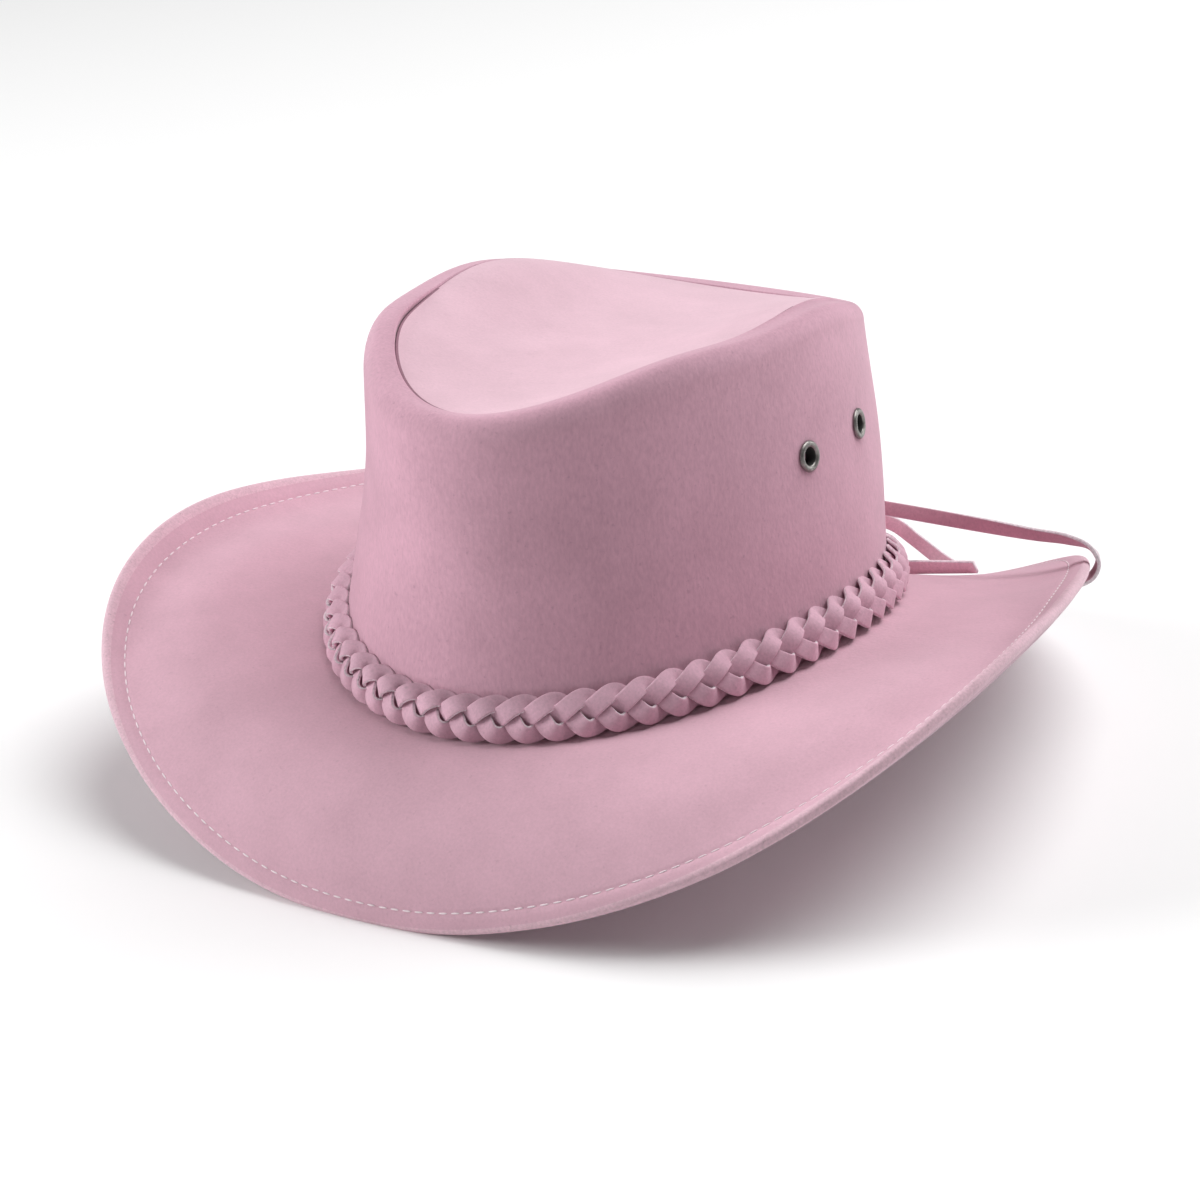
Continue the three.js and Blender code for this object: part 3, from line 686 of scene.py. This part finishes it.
metal = bpy.data.materials.new("antique_gunmetal")
metal.use_nodes = True
metal_shader = metal.node_tree.nodes["Principled BSDF"]
metal_shader.inputs["Metallic"].default_value = 0.9
metal_place = new_node(metal, "ShaderNodeTexCoord")
metal_wear = new_node(metal, "ShaderNodeTexNoise", [("Scale", 900), ("Detail", 4)])
metal_tint = new_node(metal, "ShaderNodeValToRGB")
metal_tint.color_ramp.elements[0].color = (0.07, 0.066, 0.063, 1)
metal_tint.color_ramp.elements[1].color = (0.42, 0.40, 0.38, 1)
metal_gloss = new_node(metal, "ShaderNodeMapRange", [("To Min", 0.28), ("To Max", 0.5)])
metal.node_tree.links.new(metal_place.outputs["Object"], metal_wear.inputs["Vector"])
metal.node_tree.links.new(metal_wear.outputs["Fac"], metal_tint.inputs["Fac"])
metal.node_tree.links.new(metal_wear.outputs["Fac"], metal_gloss.inputs["Value"])
metal.node_tree.links.new(metal_tint.outputs["Color"], metal_shader.inputs["Base Color"])
metal.node_tree.links.new(metal_gloss.outputs["Result"], metal_shader.inputs["Roughness"])

# The inside of each eyelet's barrel is painted near black: painted shade down the hole, not the metal's own colour.
hole_painted_shade = bpy.data.materials.new("eyelet_barrel_painted_shade")
hole_painted_shade.use_nodes = True
hole_painted_shade.node_tree.nodes["Principled BSDF"].inputs["Base Color"].default_value = (0.03, 0.03, 0.028, 1)
hole_painted_shade.node_tree.nodes["Principled BSDF"].inputs["Roughness"].default_value = 0.8

inside_face = -(leather + 0.00055)
eyelet_profile = [
    (eyelet_hole, inside_face - 0.0005),
    (0.85 * eyelet_radius, inside_face - 0.0005),
    (0.85 * eyelet_radius, inside_face),
    (eyelet_hole + 0.0004, inside_face),
    (eyelet_hole + 0.0004, 0.0001),
    (eyelet_radius - 0.0003, 0.0001),
    (eyelet_radius, 0.0003),
    (eyelet_radius - 0.0001, 0.0007),
    (eyelet_radius - 0.0005, 0.0011),
    (eyelet_radius - 0.0011, 0.00125),
    (eyelet_hole + 0.0006, 0.0010),
    (eyelet_hole + 0.0002, 0.0007),
    (eyelet_hole, 0.0002),
]
drill_bm = bmesh.new()
for side_name, side in (("left", 1), ("right", -1)):
    for place_name, way in (("front", -1), ("back", 1)):
        seat = eyelet_seat(side, eyelet_center + way * eyelet_spacing / 2)
        bmesh.ops.create_cone(
            drill_bm, cap_ends=True, segments=32, radius1=eyelet_hole + 0.0006, radius2=eyelet_hole + 0.0006,
            depth=0.012, matrix=seat,
        )
        sections = [
            [
                seat @ Vector((radius * math.sin(turn), -radius * math.cos(turn), height))
                for radius, height in eyelet_profile
            ]
            for turn in (2 * math.pi * step / 40 for step in range(40))
        ]
        name = f"eyelet_{side_name}_{place_name}"
        eyelet_bm = laid_round(sections)
        # Rows 11 and 12 line the barrel and take the painted shade.
        look_by_row(eyelet_bm, lambda row: 1 if row in (11, 12) else 0)
        finish_piece(f"{name}_metal", eyelet_bm, [metal, hole_painted_shade], [name])

drill_mesh = bpy.data.meshes.new("eyelet_drill")
drill_bm.to_mesh(drill_mesh)
drill_bm.free()
drill = bpy.data.objects.new("eyelet_drill", drill_mesh)
bpy.context.collection.objects.link(drill)
cut = crown_side.modifiers.new("eyelet_holes", "BOOLEAN")
cut.operation, cut.solver, cut.object = "DIFFERENCE", "EXACT", drill
pierced = bpy.data.meshes.new_from_object(crown_side.evaluated_get(bpy.context.evaluated_depsgraph_get()))
crown_side.modifiers.clear()
crown_side.data = pierced
bpy.data.objects.remove(drill)
bpy.data.meshes.remove(drill_mesh)

# The band is a flat plait of three strips of the same hide, wound round the foot of the crown. Each strip goes up
# to an edge, leans over it and dives under the next, and its raw edges show pale beside the dark gaps.
plait_lobes = 62
plait_height = 0.0145
plait_thickness = 0.007
strip_width = 0.0059
strip_thickness = 0.0014
steps_in_turn = 36
plait_middle, plait_swing = 0.0077, 0.0044
plait_depth, plait_lean = 0.0018, 0.0008
cup_middle, cup_swing = math.radians(18), math.radians(24)


def band_point(angle, up, out):
    """A point of the band, by its height over the brim and its distance out from the wall."""
    foot, way = base_ring(angle)
    wall_height = height_wave(angle) - rim_drop - wall_foot(angle, 0.0) + clearance
    wall = wall_point(angle, up / wall_height)
    place = Vector((wall.x, wall.y, 0)) + way * (clearance + out)
    place.z = brim_point(angle, clearance + out, leather / 2).z + clearance + up
    return place + standing


def strand_point(turn):
    """The middle of the strip after a number of its own waves, counted in radians round the plait."""
    up = plait_middle + plait_swing * math.sin(turn)
    out = plait_thickness / 2 + plait_depth * math.sin(2 * turn) - plait_lean * math.sin(turn)
    return 3 * turn / plait_lobes, up, out


def strand_frame(turn):
    angle, up, out = strand_point(turn)
    place = band_point(angle, up, out)
    along = (band_point(*strand_point(turn + 0.01)) - place).normalized()
    outward = (band_point(angle, up, out + 0.001) - place).normalized()
    upward = (band_point(angle, up + 0.001, out) - place).normalized()
    cup = cup_middle + cup_swing * math.sin(turn)
    across = (outward * math.cos(cup) + upward * math.sin(cup)).cross(along).normalized()
    face = along.cross(across)
    return Matrix.Translation(place) @ Matrix((across, face, along)).transposed().to_4x4()


outline_corners = 16
outline = [
    strip_outline(
        Vector((math.cos(2 * math.pi * corner / outline_corners), math.sin(2 * math.pi * corner / outline_corners))),
        strip_width, strip_thickness,
    )
    for corner in range(outline_corners)
]
plait_steps = plait_lobes * steps_in_turn
plait_sections = []
for step in range(plait_steps):
    strand = strand_frame(2 * math.pi * step / steps_in_turn)
    plait_sections.append([strand @ point for point in outline])
plait_bm = laid_round(plait_sections)
look_by_row(plait_bm, lambda row: 1 if row % 8 in (0, 7) else 0)
plait_looks = [
    suede("plait_suede", (0.67, 0.42, 0.51), mottle=0.10, sheen=0.3),
    suede("plait_raw_edge", (0.74, 0.64, 0.68), fleck=0.25, sheen=0.1),
]
finish_piece("plaited_band", plait_bm, plait_looks, ["braid_band"])

# The studio: a wide white floor, a large soft light overhead, one at each side, and a pale room behind.
floor_bm = bmesh.new()
bmesh.ops.create_grid(floor_bm, x_segments=1, y_segments=1, size=6)
floor_mesh = bpy.data.meshes.new("studio_floor")
floor_bm.to_mesh(floor_mesh)
floor_bm.free()
floor = bpy.data.objects.new("studio_floor", floor_mesh)
bpy.context.collection.objects.link(floor)
floor_look = bpy.data.materials.new("studio_white")
floor_look.use_nodes = True
floor_look.node_tree.nodes["Principled BSDF"].inputs["Base Color"].default_value = (0.97, 0.97, 0.97, 1)
floor_look.node_tree.nodes["Principled BSDF"].inputs["Roughness"].default_value = 1.0
floor_mesh.materials.append(floor_look)


def softbox(name, place, size, power):
    light = bpy.data.lights.new(name, "AREA")
    light.shape = "DISK"
    light.size = size
    light.energy = power
    holder = bpy.data.objects.new(name, light)
    bpy.context.collection.objects.link(holder)
    aim = (looked_at - place).to_track_quat("-Z", "Y").to_matrix().to_4x4()
    holder.matrix_world = Matrix.Translation(place) @ aim


forward = Vector((to_camera.x, to_camera.y, 0)).normalized()
softbox("overhead", Vector((0, 0, 2.4)) - forward * 0.5 + level_right * 1.0, 2.6, 68)
softbox("left_side", looked_at - level_right * 1.6 + forward * 0.1 + Vector((0, 0, 0.6)), 1.0, 20)
softbox("right_side", looked_at + level_right * 1.6 - forward * 0.8 + Vector((0, 0, 0.5)), 1.0, 8)
room = bpy.data.worlds.new("room")
room.use_nodes = True
room.node_tree.nodes["Background"].inputs["Color"].default_value = (1, 1, 1, 1)
room.node_tree.nodes["Background"].inputs["Strength"].default_value = 0.13
bpy.context.scene.world = room
bpy.context.scene.view_settings.view_transform = "Standard"
